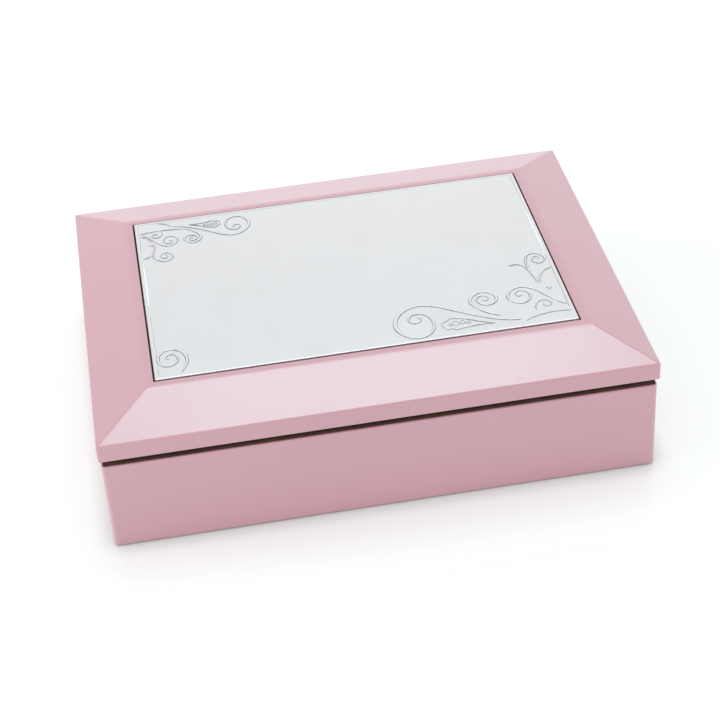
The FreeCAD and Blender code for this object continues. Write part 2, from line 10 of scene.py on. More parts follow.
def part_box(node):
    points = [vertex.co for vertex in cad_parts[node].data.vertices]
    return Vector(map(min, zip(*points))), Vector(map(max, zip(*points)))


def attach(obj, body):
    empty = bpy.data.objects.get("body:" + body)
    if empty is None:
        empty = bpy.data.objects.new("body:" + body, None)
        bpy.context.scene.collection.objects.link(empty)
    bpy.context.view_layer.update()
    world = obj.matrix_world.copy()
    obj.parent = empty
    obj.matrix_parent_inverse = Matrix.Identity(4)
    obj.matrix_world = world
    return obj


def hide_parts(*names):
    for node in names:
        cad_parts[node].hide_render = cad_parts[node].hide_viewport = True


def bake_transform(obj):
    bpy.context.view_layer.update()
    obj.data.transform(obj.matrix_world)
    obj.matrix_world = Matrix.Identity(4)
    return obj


# The jewellery box as it looks: materials for the CAD pieces, then the fine and the soft pieces.
# Lengths are millimetres until add_piece scales them to metres; lights are placed in metres.

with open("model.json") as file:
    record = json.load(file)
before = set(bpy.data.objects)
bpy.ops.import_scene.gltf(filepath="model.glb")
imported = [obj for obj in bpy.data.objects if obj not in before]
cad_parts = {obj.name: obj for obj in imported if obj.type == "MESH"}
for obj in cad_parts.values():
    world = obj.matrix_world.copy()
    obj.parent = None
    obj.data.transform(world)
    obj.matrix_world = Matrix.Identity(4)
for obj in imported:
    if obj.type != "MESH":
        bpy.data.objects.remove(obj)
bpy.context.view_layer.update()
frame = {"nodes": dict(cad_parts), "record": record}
NODES = frame["nodes"]
MM = 0.001

# colours, linear
PINK = (0.56, 0.298, 0.352)
SILVER = (0.86, 0.87, 0.885)
VELVET = (0.052, 0.028, 0.021)


# ---------------------------------------------------------------- materials


class Finish:
    """One procedural material: a Principled shader with noise driving colour, roughness and bump."""

    def __init__(self, name, color, rough=0.5, metallic=0.0, **sockets):
        self.mat = bpy.data.materials.new(name)
        self.mat.use_nodes = True
        self.tree = self.mat.node_tree
        self.tree.nodes.clear()
        out = self.tree.nodes.new("ShaderNodeOutputMaterial")
        self.bsdf = self.tree.nodes.new("ShaderNodeBsdfPrincipled")
        self.tree.links.new(self.bsdf.outputs[0], out.inputs[0])
        self.set("Base Color", (*color, 1.0))
        self.set("Roughness", rough)
        self.set("Metallic", metallic)
        for key, value in sockets.items():
            self.set(key.replace("_", " ").title(), value)
        self.color = color
        coord = self.tree.nodes.new("ShaderNodeTexCoord")
        self.where = coord.outputs["Object"]
        self.height = None

    def set(self, socket, value):
        self.bsdf.inputs[socket].default_value = value

    def stretched(self, scale):
        node = self.tree.nodes.new("ShaderNodeMapping")
        node.inputs["Scale"].default_value = scale
        self.tree.links.new(self.where, node.inputs["Vector"])
        return node.outputs[0]

    def noise(self, scale, detail=3.0, rough=0.55, stretch=None, distortion=0.0):
        node = self.tree.nodes.new("ShaderNodeTexNoise")
        node.inputs["Scale"].default_value = scale
        node.inputs["Detail"].default_value = detail
        node.inputs["Roughness"].default_value = rough
        node.inputs["Distortion"].default_value = distortion
        where = self.stretched(stretch) if stretch else self.where
        self.tree.links.new(where, node.inputs["Vector"])
        return node.outputs["Fac"]

    def cells(self, scale, feature="F1"):
        node = self.tree.nodes.new("ShaderNodeTexVoronoi")
        node.feature = feature
        node.inputs["Scale"].default_value = scale
        self.tree.links.new(self.where, node.inputs["Vector"])
        return node.outputs["Distance"]

    def ramp(self, source, low, high, a=0.3, b=0.7):
        node = self.tree.nodes.new("ShaderNodeValToRGB")
        node.color_ramp.elements[0].position = a
        node.color_ramp.elements[1].position = b
        node.color_ramp.elements[0].color = (*low, 1.0)
        node.color_ramp.elements[1].color = (*high, 1.0)
        self.tree.links.new(source, node.inputs[0])
        return node.outputs[0]

    def vary_color(self, source, dark=0.9, light=1.1, a=0.3, b=0.7):
        low = tuple(c * dark for c in self.color)
        high = tuple(min(1.0, c * light) for c in self.color)
        self.tree.links.new(self.ramp(source, low, high, a, b), self.bsdf.inputs["Base Color"])
        return self

    def mix_color(self, source, low, high, a=0.3, b=0.7):
        self.tree.links.new(self.ramp(source, low, high, a, b), self.bsdf.inputs["Base Color"])
        return self

    def vary_rough(self, source, low, high):
        node = self.tree.nodes.new("ShaderNodeMapRange")
        node.inputs["To Min"].default_value = low
        node.inputs["To Max"].default_value = high
        self.tree.links.new(source, node.inputs["Value"])
        self.tree.links.new(node.outputs[0], self.bsdf.inputs["Roughness"])
        return self

    def vary_alpha(self, source, low, high, a, b):
        node = self.tree.nodes.new("ShaderNodeMapRange")
        node.inputs["From Min"].default_value = a
        node.inputs["From Max"].default_value = b
        node.inputs["To Min"].default_value = low
        node.inputs["To Max"].default_value = high
        self.tree.links.new(source, node.inputs["Value"])
        self.tree.links.new(node.outputs[0], self.bsdf.inputs["Alpha"])
        return self

    def bump(self, source, strength, distance):
        node = self.tree.nodes.new("ShaderNodeBump")
        node.inputs["Strength"].default_value = strength
        node.inputs["Distance"].default_value = distance
        self.tree.links.new(source, node.inputs["Height"])
        if self.height is not None:
            self.tree.links.new(self.height, node.inputs["Normal"])
        self.height = node.outputs[0]
        self.tree.links.new(self.height, self.bsdf.inputs["Normal"])
        return self


def make_lacquer():
    f = Finish("lacquer_pink", PINK, 0.36, coat_weight=1.0, coat_roughness=0.24)
    f.set("Coat IOR", 1.8)
    f.vary_color(f.noise(9.0, 4.0), 0.985, 1.015)
    f.vary_rough(f.noise(60.0, 3.0), 0.32, 0.42)
    f.bump(f.noise(420.0, 2.0), 0.06, 0.0004)
    f.bump(f.noise(1500.0, 3.0, 0.7), 0.12, 0.0002)
    return f.mat


def make_silver():
    f = Finish("plate_silver", SILVER, 0.3, 1.0)
    f.vary_color(f.noise(7.0, 2.0), 0.99, 1.01)
    f.vary_rough(f.noise(90.0, 4.0), 0.26, 0.34)
    f.bump(f.noise(900.0, 3.0), 0.03, 0.0002)
    return f.mat


# Painted shade: a dark silver for the scroll ridges' steep side strips, standing in for the shade the
# raised ridges throw.
def make_painted_shade_edge():
    f = Finish("plate_edge_painted_shade", (0.15, 0.155, 0.165), 0.35, 1.0)
    f.vary_color(f.noise(160.0, 3.0), 0.4, 2.2)
    return f.mat


# Painted shade: a darker, greener silver for the nearly flat border line, standing in for the shade of a
# fine embossed line.
def make_painted_shade_line():
    f = Finish("plate_line_painted_shade", (0.64, 0.69, 0.66), 0.32, 1.0)
    f.vary_color(f.noise(120.0, 3.0), 0.85, 1.1)
    return f.mat


def make_velvet(name="velvet_brown", color=VELVET):
    f = Finish(name, color, 0.95, sheen_weight=0.55, sheen_roughness=0.45)
    f.set("Sheen Tint", (0.70, 0.48, 0.38, 1.0))
    f.set("Specular IOR Level", 0.1)
    f.vary_color(f.noise(60.0, 5.0, 0.7), 0.72, 1.35)
    f.bump(f.noise(2600.0, 4.0, 0.75), 0.6, 0.0005)
    f.bump(f.noise(130.0, 2.0), 0.15, 0.0012)
    return f.mat


def make_metal(name, color, rough, grain=1.0):
    f = Finish(name, color, rough, 1.0)
    f.vary_color(f.noise(120.0, 4.0), 0.9, 1.06)
    f.vary_rough(f.noise(500.0, 3.0), rough * 0.75, min(1.0, rough * 1.35))
    f.bump(f.noise(1800.0, 2.0), 0.05 * grain, 0.0002)
    return f.mat


def make_casting():
    f = Finish("zinc_casting", (0.36, 0.37, 0.38), 0.5, 0.85)
    f.vary_color(f.noise(300.0, 5.0), 0.8, 1.15)
    f.vary_rough(f.noise(700.0, 3.0), 0.42, 0.62)
    f.bump(f.noise(1500.0, 4.0), 0.25, 0.0003)
    return f.mat


def make_pine():
    f = Finish("pine_block", (0.50, 0.30, 0.14), 0.6)
    rings = f.noise(22.0, 5.0, 0.6, stretch=(1.0, 9.0, 9.0), distortion=0.6)
    f.mix_color(rings, (0.36, 0.19, 0.08), (0.58, 0.38, 0.19), 0.35, 0.62)
    f.vary_rough(rings, 0.5, 0.7)
    f.bump(f.noise(60.0, 4.0, 0.6, stretch=(1.0, 14.0, 14.0)), 0.2, 0.0004)
    return f.mat


def make_hardboard():
    f = Finish("hardboard_brown", (0.145, 0.067, 0.030), 0.55)
    f.vary_color(f.noise(420.0, 6.0, 0.75), 0.6, 1.5, 0.35, 0.65)
    f.bump(f.cells(700.0), 0.3, 0.0003)
    return f.mat


def make_card():
    f = Finish("grey_card", (0.26, 0.22, 0.17), 0.9)
    f.vary_color(f.noise(500.0, 6.0, 0.8), 0.75, 1.25)
    f.bump(f.noise(900.0, 4.0), 0.3, 0.0003)
    return f.mat


def make_felt():
    f = Finish("felt_grey", (0.60, 0.59, 0.56), 1.0, sheen_weight=0.3, sheen_roughness=0.6)
    f.vary_color(f.noise(900.0, 6.0, 0.8), 0.8, 1.15, 0.35, 0.65)
    f.bump(f.noise(1300.0, 5.0, 0.8, stretch=(1.0, 1.6, 1.0)), 0.8, 0.0005)
    return f.mat


def make_mirror():
    f = Finish("mirror_glass", (0.90, 0.92, 0.92), 0.03, 1.0)
    f.vary_rough(f.noise(25.0, 3.0), 0.015, 0.045)
    return f.mat


def make_silicone():
    f = Finish("silicone_clear", (0.93, 0.93, 0.93), 0.22, transmission_weight=0.8)
    f.set("IOR", 1.41)
    f.vary_rough(f.noise(800.0, 2.0), 0.15, 0.3)
    return f.mat


def make_nylon():
    f = Finish("nylon_white", (0.70, 0.68, 0.60), 0.42, subsurface_weight=0.1)
    f.vary_color(f.noise(300.0, 3.0), 0.94, 1.04)
    f.bump(f.noise(1200.0, 2.0), 0.1, 0.0002)
    return f.mat


def make_painted(name, color, rough, spread=0.05, coat=0.0):
    f = Finish(name, color, rough, coat_weight=coat, coat_roughness=0.15)
    f.vary_color(f.noise(350.0, 3.0), 1.0 - spread, 1.0 + spread)
    f.vary_rough(f.noise(700.0, 2.0), rough * 0.85, rough * 1.15)
    f.bump(f.noise(1500.0, 2.0), 0.06, 0.0001)
    return f.mat


def make_hair():
    f = Finish("hair_brown", (0.060, 0.028, 0.014), 0.38)
    strands = f.noise(500.0, 4.0, 0.6, stretch=(5.0, 1.0, 1.0))
    f.vary_color(strands, 0.55, 1.9, 0.3, 0.7)
    f.bump(strands, 0.8, 0.0003)
    return f.mat


def make_satin(name, color):
    f = Finish(name, color, 0.32, sheen_weight=0.3, sheen_roughness=0.35)
    f.vary_color(f.noise(220.0, 3.0), 0.9, 1.1)
    f.bump(f.noise(3000.0, 2.0, 0.5, stretch=(1.0, 1.0, 0.15)), 0.25, 0.0002)
    return f.mat


def make_tulle():
    f = Finish("tulle_pink", (0.80, 0.47, 0.53), 0.8, sheen_weight=0.5, sheen_roughness=0.4)
    net = f.cells(1500.0, "DISTANCE_TO_EDGE")
    f.vary_alpha(net, 0.95, 0.34, 0.02, 0.11)
    f.vary_color(f.noise(90.0, 3.0), 0.9, 1.12)
    return f.mat


MATERIALS = {
    "lacquer": make_lacquer(),
    "silver": make_silver(),
    "velvet": make_velvet(),
    "padding": make_velvet("velvet_roll", tuple(c * 1.12 for c in VELVET)),
    "nickel": make_metal("nickel", (0.66, 0.63, 0.58), 0.2),
    "steel": make_metal("spring_steel", (0.47, 0.47, 0.48), 0.3, 2.0),
    "brass": make_metal("brass", (0.74, 0.51, 0.20), 0.24),
    "casting": make_casting(),
    "pine": make_pine(),
    "hardboard": make_hardboard(),
    "card": make_card(),
    "felt": make_felt(),
    "mirror": make_mirror(),
    "bumper": make_silicone(),
    "nylon": make_nylon(),
    "doll": make_painted("skin", (0.78, 0.50, 0.38), 0.42),
    "tulle": make_tulle(),
}

for entry in frame["record"]["subparts"]:
    node = NODES[entry["node"]]
    node.data.materials.clear()
    node.data.materials.append(MATERIALS[entry["material_slot"]])


# ---------------------------------------------------------------- mesh helpers


def add_piece(name, bm, materials, body):
    bmesh.ops.recalc_face_normals(bm, faces=bm.faces)
    bmesh.ops.scale(bm, vec=(MM, MM, MM), verts=bm.verts)
    mesh = bpy.data.meshes.new(name)
    bm.to_mesh(mesh)
    bm.free()
    for material in materials:
        mesh.materials.append(material)
    for face in mesh.polygons:
        face.use_smooth = True
    obj = bpy.data.objects.new(name, mesh)
    bpy.context.collection.objects.link(obj)
    if body:
        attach(obj, body)
    return obj


def spun(axis, degrees):
    return Matrix.Rotation(math.radians(degrees), 3, axis)


ROUND_END = (0.45, 0.9, 1.35)  # where the rings of a tube's rounded end stand, in radians


def smooth_line(points, step):
    """A Catmull-Rom line through the points, sampled about every step."""
    pts = [Vector(p) for p in points]
    pts = [pts[0] * 2 - pts[1]] + pts + [pts[-1] * 2 - pts[-2]]
    line = []
    for a, b, c, d in zip(pts, pts[1:], pts[2:], pts[3:]):
        count = max(2, round((c - b).length / step))
        for k in range(count):
            t = k / count
            spot = b * 2 + (c - a) * t
            spot += (a * 2 - b * 5 + c * 4 - d) * t**2
            spot += (b * 3 - a - c * 3 + d) * t**3
            line.append(0.5 * spot)
    line.append(pts[-2])
    return line


def between(values, t):
    """Values spread evenly over 0 to 1, read at t."""
    x = min(max(t, 0.0), 1.0) * (len(values) - 1)
    k = min(int(x), len(values) - 2)
    return values[k] + (values[k + 1] - values[k]) * (x - k)


def join_rings(bm, rings, closed=False, caps=True, index=None):
    """Quads between rings of vertices; index(j) gives the material of the strip j round the ring."""
    n = len(rings[0])
    pairs = list(zip(rings, rings[1:])) + ([(rings[-1], rings[0])] if closed else [])
    for low, high in pairs:
        for j in range(n):
            face = bm.faces.new((low[j], low[(j + 1) % n], high[(j + 1) % n], high[j]))
            if index:
                face.material_index = index(j)
    if caps and not closed:
        bm.faces.new(rings[0][::-1])
        bm.faces.new(rings[-1])


def tube(bm, points, radii, step=0.5, sides=16, flat=1.0, front=(0, -1, 0)):
    """A round limb along a smooth line with rounded ends; flat under 1 thins it towards front."""
    line = smooth_line(points, step)
    count = len(line) - 1
    front = Vector(front)
    rings = []
    for i, p in enumerate(line):
        way = (line[min(i + 1, count)] - line[max(i - 1, 0)]).normalized()
        side = way.cross(front)
        side = side.normalized() if side.length > 1e-4 else way.orthogonal().normalized()
        depth = side.cross(way)
        r = between(radii, i / count)
        ends = []
        if i == 0:
            ends = [(-math.sin(a), math.cos(a)) for a in reversed(ROUND_END)]
        ends.append((0.0, 1.0))
        if i == count:
            ends += [(math.sin(a), math.cos(a)) for a in ROUND_END]
        for lift, scale in ends:
            ring = []
            for j in range(sides):
                a = 2 * math.pi * j / sides
                out = side * math.cos(a) + depth * flat * math.sin(a)
                ring.append(bm.verts.new(p + way * r * lift + r * scale * out))
            rings.append(ring)
    join_rings(bm, rings)


def ball(bm, centre, size, sides=20):
    """An ellipsoid of the given half sizes."""
    where = Matrix.Translation(centre) @ Matrix.Diagonal((*size, 1.0))
    rows = sides // 2 + 2
    bmesh.ops.create_uvsphere(bm, u_segments=sides, v_segments=rows, radius=1.0, matrix=where)


# ---------------------------------------------------------------- the plate's scrolls

# Points lie on the plate: x to the right and y to the back from the opening's front left corner.
OPENING_X, OPENING_Y = 178.0, 121.5
CORNER_X, CORNER_Y = -OPENING_X / 2, -OPENING_Y / 2
PLATE_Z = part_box("silver_plate")[1][2] / MM
CURL_WIDTHS = (1.0, 1.5, 2.0, 1.4, 0.8)

MAIN_CURL = [
    (154, 6), (149, 6.9), (144, 8.8), (138.7, 11.8), (133.3, 15.3), (127.5, 19.4), (122, 23.2),
    (117.3, 25.4), (113, 25.8), (108.8, 24.4), (105, 21.2), (102.6, 16.5), (102.2, 11.5),
    (104, 7.2), (107.2, 4.2), (111, 3.2), (114.8, 4.6), (117.4, 8), (118.1, 12), (117.4, 16),
    (115.2, 19), (112, 20), (109.4, 18.8), (108.3, 16.2), (109.2, 14.2), (111.3, 13.7),
    (113, 14.8), (113.2, 16.6), (111.9, 17.4),
]
LEAF_LOW = [
    (143, 6.1), (136.7, 6.5), (130.7, 5.9), (126, 5.2), (125.3, 6.3), (122.7, 6.1),
    (121.6, 8.2), (120.8, 10.8),
]
LEAF_HIGH = [
    (120.8, 10.8), (123.7, 12.2), (125.3, 13.4), (129.3, 12.6), (133.3, 10.9), (137, 8.6),
    (143, 6.1),
]
BUDS = [((124.4, 9.2), 0.8), ((126.8, 9.7), 1.4), ((129.8, 9.7), 1.1), ((132.3, 9.1), 0.8)]
SECOND_CURL = [
    (146.5, 10.7), (143.3, 12.6), (140.3, 15.2), (137.6, 18.6), (136, 22.6), (137.2, 26.6),
    (140.6, 29), (144.4, 28.6), (147, 25.4), (146.8, 21.6), (143.6, 19.5), (140.2, 20.6),
    (138.8, 23.6), (140.2, 26.2), (142.8, 26.3), (144, 24.2), (142.6, 22.7), (141, 23.6),
]
THIRD_CURL = [
    (175.6, 12.2), (172.3, 15), (170, 17.9), (168, 20.9), (165.3, 25), (162, 28), (158.5, 29.1),
    (154.8, 27.6), (152.3, 24), (152.5, 20.6), (154.8, 18), (157.6, 17.3), (160.6, 19.2),
    (161.6, 22.4), (160.4, 25.4), (157.6, 26.4), (155.8, 24.6), (156.6, 22.6), (158.4, 22.8),
]
SMALL_CURL = [
    (162.2, 10.3), (161.9, 13.3), (163.3, 16.2), (165.8, 17.5), (168.4, 16.2), (168.8, 14),
    (167, 12.9), (165.3, 14), (165.8, 15.7),
]
SHARED = [
    (MAIN_CURL, CURL_WIDTHS),
    (LEAF_LOW, (0.5, 0.8, 0.6)),
    (LEAF_HIGH, (0.6, 0.8, 0.5)),
    (SECOND_CURL, (1.0, 1.6, 1.3, 0.7)),
    (THIRD_CURL, (1.2, 1.6, 1.3, 0.7)),
    (SMALL_CURL, (0.8, 0.9, 0.6)),
]
TRUNK = [
    (167.2, 30), (166.8, 34), (165.9, 38), (165.6, 43), (165.7, 47), (167.2, 51.4), (170, 52.7),
    (172.8, 51.2), (174.3, 48), (173, 45.4), (170.8, 44.8), (168.8, 46.6), (169, 49),
    (171, 50.2), (172, 48.8), (170.8, 48.2),
]
FRONT_RIGHT = [
    (TRUNK, (1.2, 1.2, 0.9, 0.6)),
    (
        [(166.4, 35), (165.2, 40), (163.6, 44.4), (161, 45.9), (158.2, 45.6), (157.9, 46.6)],
        (0.9, 0.8, 0.5),
    ),
    ([(168.2, 30), (168.9, 34), (170.4, 37.2), (172.6, 39.4), (175.4, 40.3)], (1.0, 0.8)),
    (
        [(169, 25.3), (169.6, 26), (170.3, 25.3), (171, 24.9), (171.7, 25.6), (171.5, 26.4)],
        (0.45, 0.4),
    ),
    (
        [(155.3, 3.9), (157.3, 5.4), (160.7, 6.8), (164.7, 7.8), (169.3, 8.2), (173.3, 7.8), (175.6, 7.3)],
        (0.5, 1.0, 0.5),
    ),
]
BACK_STEM = [
    (8.6, 101.5), (8.2, 97.5), (7.4, 93), (8.6, 89.3), (12, 87), (15.2, 88.6), (15.9, 91.4),
    (14.4, 93.2), (12.4, 93.6), (10.9, 92.2), (10.9, 90.4), (12.3, 89.5), (13.6, 90.2),
    (13.6, 91.5), (12.6, 91.7),
]
BACK_LEFT = [
    (BACK_STEM, (1.0, 1.1, 0.5)),
    ([(2.6, 90.8), (5, 91.6), (7, 92.8)], (0.8, 0.7)),
    ([(2.8, 109), (5, 108), (6.8, 105.6), (7.6, 103)], (0.7, 0.8)),
    ([(5.8, 101.8), (7.5, 100.8), (9, 101.6)], (0.5, 0.5)),
    ([(22.9, 111.3), (17, 112.3), (10, 112.5), (2.7, 111.5)], (0.8, 0.9, 0.5)),
    ([(18, 114.2), (15, 117.3), (11, 119.0)], (0.9, 0.6)),
]
FRONT_LEFT_CURL = [
    (11.2, 3), (13.3, 6.2), (14.8, 10), (14.6, 14.4), (12.6, 18.4), (9.4, 20.2), (5.8, 19.5),
    (3.4, 16.2), (3.2, 12), (5.2, 9.2), (8.2, 8.9), (10.8, 11.2), (11, 14.6), (9.2, 16.6),
    (6.8, 15.8), (6.6, 13.8), (7.8, 13.3),
]


def ridge_ring(bm, p, side, width, height):
    """One cross-section of an embossed ridge: steep sides, a slightly dished top and a sunk foot."""
    half = width / 2
    edge = min(0.24, half * 0.45)
    outline = [(-half, -0.12), (-half, 0), (-half + edge, 0.9), (-half + 1.6 * edge, 1), (0, 0.72)]
    outline += [(half - 1.6 * edge, 1), (half - edge, 0.9), (half, 0), (half, -0.12)]
    ring = []
    for u, h in outline:
        spot = p + side * u
        z = PLATE_Z + (h * height if h > 0 else h)
        ring.append(bm.verts.new((CORNER_X + spot.x, CORNER_Y + spot.y, z)))
    return ring


def steep(j):
    """The darker second material on the ridge's two side strips: painted shade along the ridge's outlines.
    """
    return 1 if j in (1, 6) else 0


def ridge(bm, points, widths, height=0.25, closed=False):
    """An embossed line through the points, tapered at both ends unless it closes on itself."""
    line = smooth_line(points, 0.45)
    if closed:
        line.pop()
    count = len(line)
    rings = []
    for i, p in enumerate(line):
        if closed:
            ahead, behind = line[(i + 1) % count], line[i - 1]
        else:
            ahead, behind = line[min(i + 1, count - 1)], line[max(i - 1, 0)]
        way = ahead - behind
        side = Vector((-way.y, way.x)).normalized()
        t = i / max(1, count - 1)
        tip = 1.0 if closed else min(1.0, 0.35 + 0.65 * min(i, count - 1 - i) / 3)
        rise = height * (1.0 if closed else tip)
        rings.append(ridge_ring(bm, p, side, between(widths, t) * tip, rise))
    join_rings(bm, rings, closed, index=steep)


FRONT_EYE = (111.5, 16.5)
BACK_EYE = (46.0, 107.5)
BACK_SCALE = 0.66
BUD_SIDES = 8


def turned(p):
    """A point of the front right scroll as it lies in the smaller, half-turned back left one."""
    return tuple(back - BACK_SCALE * (x - front) for x, front, back in zip(p, FRONT_EYE, BACK_EYE))


def make_scrolls():
    bm = bmesh.new()
    for points, widths in SHARED:
        ridge(bm, points, widths)
        ridge(bm, [turned(p) for p in points], [w * 0.8 for w in widths])
    for (x, y), r in BUDS:
        turns = [k * math.pi / 4 for k in range(BUD_SIDES + 1)]
        loop = [(x + r * math.cos(a), y + r * math.sin(a)) for a in turns]
        ridge(bm, loop, (0.5, 0.5), 0.2, True)
        ridge(bm, [turned(p) for p in loop], (0.42, 0.42), 0.2, True)
    for points, widths in FRONT_RIGHT + BACK_LEFT + [(FRONT_LEFT_CURL, (1.0, 1.8, 1.3, 0.7))]:
        ridge(bm, points, widths)
    # The second material paints shade on the ridges' steep side strips.
    add_piece("plate_scrolls", bm, [MATERIALS["silver"], make_painted_shade_edge()], "lid")


LINE_IN = 2.5
LINE_WIDTH, LINE_RISE = 0.5, 0.015
LINE_START_Y, LINE_END_Y = 9.5, 3.5


def make_border():
    """The thin raised line along the plate's right, back and left sides, mitred at its corners; its darker
    silver is painted shade.
    """
    bm = bmesh.new()
    right, back = OPENING_X - LINE_IN, OPENING_Y - LINE_IN
    corners = [(right, LINE_START_Y, -1, 0), (right, back, -1, -1)]
    corners += [(LINE_IN, back, 1, -1), (LINE_IN, LINE_END_Y, 1, 0)]
    rings = []
    for x, y, dx, dy in corners:
        rings.append(ridge_ring(bm, Vector((x, y)), Vector((dx, dy)), LINE_WIDTH, LINE_RISE))
    join_rings(bm, rings)
    add_piece("plate_border", bm, [make_painted_shade_line()], "lid")


make_scrolls()
make_border()


# ---------------------------------------------------------------- velvet-covered boards and linings


BOARD_SOFT = 1.1
LINING_SOFT = 0.3
CUT_EVERY = 4.0


def velvet_board(name):
    """A board wrapped in velvet, with rounded edges and slightly uneven faces."""
    low, high = (Vector(c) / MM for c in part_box(name))
    bm = bmesh.new()
    size = high - low
    where = Matrix.Translation((low + high) / 2) @ Matrix.Diagonal((*size, 1.0))
    bmesh.ops.create_cube(bm, size=1.0, matrix=where)
    edges = bm.edges[:]
    bmesh.ops.bevel(bm, geom=edges, offset=BOARD_SOFT, segments=4, profile=0.5, affect="EDGES")
    for axis in range(3):
        way = Vector([float(k == axis) for k in range(3)])
        cuts = int(size[axis] / CUT_EVERY)
        for k in range(1, cuts):
            spot = low + way * size[axis] * k / cuts
            everything = bm.verts[:] + bm.edges[:] + bm.faces[:]
            bmesh.ops.bisect_plane(bm, geom=everything, plane_co=spot, plane_no=way)
    bm.normal_update()
    for v in bm.verts:
        v.co -= v.normal * (0.1 + 0.09 * noise.noise(v.co * 0.11))
    board = add_piece("velvet_" + name, bm, [MATERIALS["velvet"]], "base")
    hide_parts(name)


BOARDS = [
    "divider_left",
    "divider_right",
    "cross_divider_rolls",
    "cross_divider_left",
    "cross_divider_right_front",
    "cross_divider_right_back",
    "cross_divider_centre",
    "housing_front_wall",
]
for name in BOARDS:
    velvet_board(name)

for name in ("wall_lining", "lid_lining", "deck_panel", "floor_lining"):
    soft = NODES[name].modifiers.new("soft_edges", "BEVEL")
    soft.width = LINING_SOFT * MM
    soft.segments = 3
    soft.limit_method = "ANGLE"
    soft.harden_normals = True


# ---------------------------------------------------------------- ring rolls

ROLL_SCALE = 10.0  # cloth behaves at ten times this size
ROLL_REACH = 0.75  # the farthest that filling may move a point
ROLL_RINGS = 56
ROLL_ROUND = 14
FILL_FRAMES = 18
WALL_STEPS = (0.2, 0.35, 0.5, 0.65, 0.8, 0.92)


def roll_form(k):
    """The unfilled cover of one roll: an upright bar with a round top, its ends drawn in."""
    low, high = (Vector(c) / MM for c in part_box("ring_roll_%d" % k))
    half = (high.y - low.y) / 2 - 0.85
    centre, top, bottom = (low.y + high.y) / 2, high.z - 0.7, low.z + 0.1
    outline = [(-half + 1.0, bottom), (-half + 0.3, bottom + 0.3), (-half, bottom + 1.0)]
    outline += [(-half, bottom + (top - half - bottom) * t) for t in WALL_STEPS]
    arc = [math.pi * j / ROLL_ROUND for j in range(ROLL_ROUND + 1)]
    outline += [(-half * math.cos(a), top - half + half * math.sin(a)) for a in arc]
    outline += [(half, bottom + (top - half - bottom) * t) for t in reversed(WALL_STEPS)]
    outline += [(half, bottom + 1.0), (half - 0.3, bottom + 0.3), (half - 1.0, bottom), (0, bottom)]
    bm = bmesh.new()
    rings = []
    x0, x1 = low.x + 0.5, high.x - 0.5
    for i in range(ROLL_RINGS + 1):
        t = i / ROLL_RINGS
        near = min(t, 1 - t) * (x1 - x0)
        pinch = 1.0 - 0.22 * max(0.0, 1 - near / 3.0) ** 2
        sway = 0.12 * noise.noise(Vector((t * 9.0, k * 3.7, 0.0)))
        ring = []
        for y, z in outline:
            lift = (z - bottom) * (1.0 - 0.35 * (1.0 - pinch))
            spot = (x0 + (x1 - x0) * t, centre + y * pinch + sway, bottom + lift)
            ring.append(bm.verts.new(spot))
        rings.append(ring)
    join_rings(bm, rings)
    return bm, bottom


def fill_roll(obj, bottom):
    """Blow the cover up with cloth pressure at ten times its size, and hold how far it may go."""
    start = [v.co.copy() for v in obj.data.vertices]
    for v in obj.data.vertices:
        v.co *= ROLL_SCALE
    held = obj.vertex_groups.new(name="held")
    held.add([i for i, co in enumerate(start) if co.z < (bottom + 0.6) * MM], 1.0, "REPLACE")
    cloth = obj.modifiers.new("fill", "CLOTH")
    cloth.settings.quality = 5
    cloth.settings.mass = 0.25
    cloth.settings.tension_stiffness = 12.0
    cloth.settings.compression_stiffness = 4.0
    cloth.settings.shear_stiffness = 4.0
    cloth.settings.bending_stiffness = 0.15
    cloth.settings.shrink_min = -0.035
    cloth.settings.use_pressure = True
    cloth.settings.uniform_pressure_force = 4.0
    cloth.settings.vertex_group_mass = "held"
    cloth.settings.effector_weights.gravity = 0.0
    cloth.collision_settings.use_collision = False
    scene = bpy.context.scene
    for step in range(1, FILL_FRAMES + 1):
        scene.frame_set(step)
    graph = bpy.context.evaluated_depsgraph_get()
    filled = [v.co / ROLL_SCALE for v in obj.evaluated_get(graph).to_mesh().vertices]
    obj.evaluated_get(graph).to_mesh_clear()
    obj.modifiers.clear()
    obj.vertex_groups.clear()
    scene.frame_set(1)
    reach = ROLL_REACH * MM
    for v, a, b in zip(obj.data.vertices, start, filled):
        move = b - a
        v.co = a + move * (reach / (reach + move.length))


for number in range(1, 6):
    form, foot = roll_form(number)
    roll = add_piece("velvet_roll_%d" % number, form, [MATERIALS["padding"]], "base")
    fill_roll(roll, foot)
    finer = roll.modifiers.new("finer", "SUBSURF")
    finer.levels = finer.render_levels = 1
    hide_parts("ring_roll_%d" % number)


# ---------------------------------------------------------------- the dancer, laid forward under the lid

PIVOT = Vector((0.0, 18.0, 37.0))
LAID = Matrix.Translation(PIVOT) @ Matrix.Rotation(math.radians(90), 4, "X")
PINK_SATIN = make_satin("satin_pink", (0.72, 0.30, 0.38))
HAIR = make_hair()
LASH = make_painted("painted_dark", (0.035, 0.018, 0.012), 0.4)
ROSE = make_painted("painted_rose", (0.52, 0.10, 0.11), 0.3, 0.05, 0.4)


SKIN_GRAIN = 0.24


def dancer_piece(name, bm, material, voxel=0.0):
    """One piece of the dancer, laid forward; voxel melts its limbs into one skin of that grain."""
    bmesh.ops.transform(bm, matrix=LAID, verts=bm.verts)
    obj = add_piece(name, bm, [material], "dancer")
    if voxel:
        melt = obj.modifiers.new("melt", "REMESH")
        melt.mode = "VOXEL"
        melt.voxel_size = voxel * MM
        even = obj.modifiers.new("even", "SMOOTH")
        even.factor = 0.5
        even.iterations = 2
        graph = bpy.context.evaluated_depsgraph_get()
        mesh = bpy.data.meshes.new_from_object(obj.evaluated_get(graph))
        obj.modifiers.clear()
        obj.data = mesh
        for face in mesh.polygons:
            face.use_smooth = True
    return obj


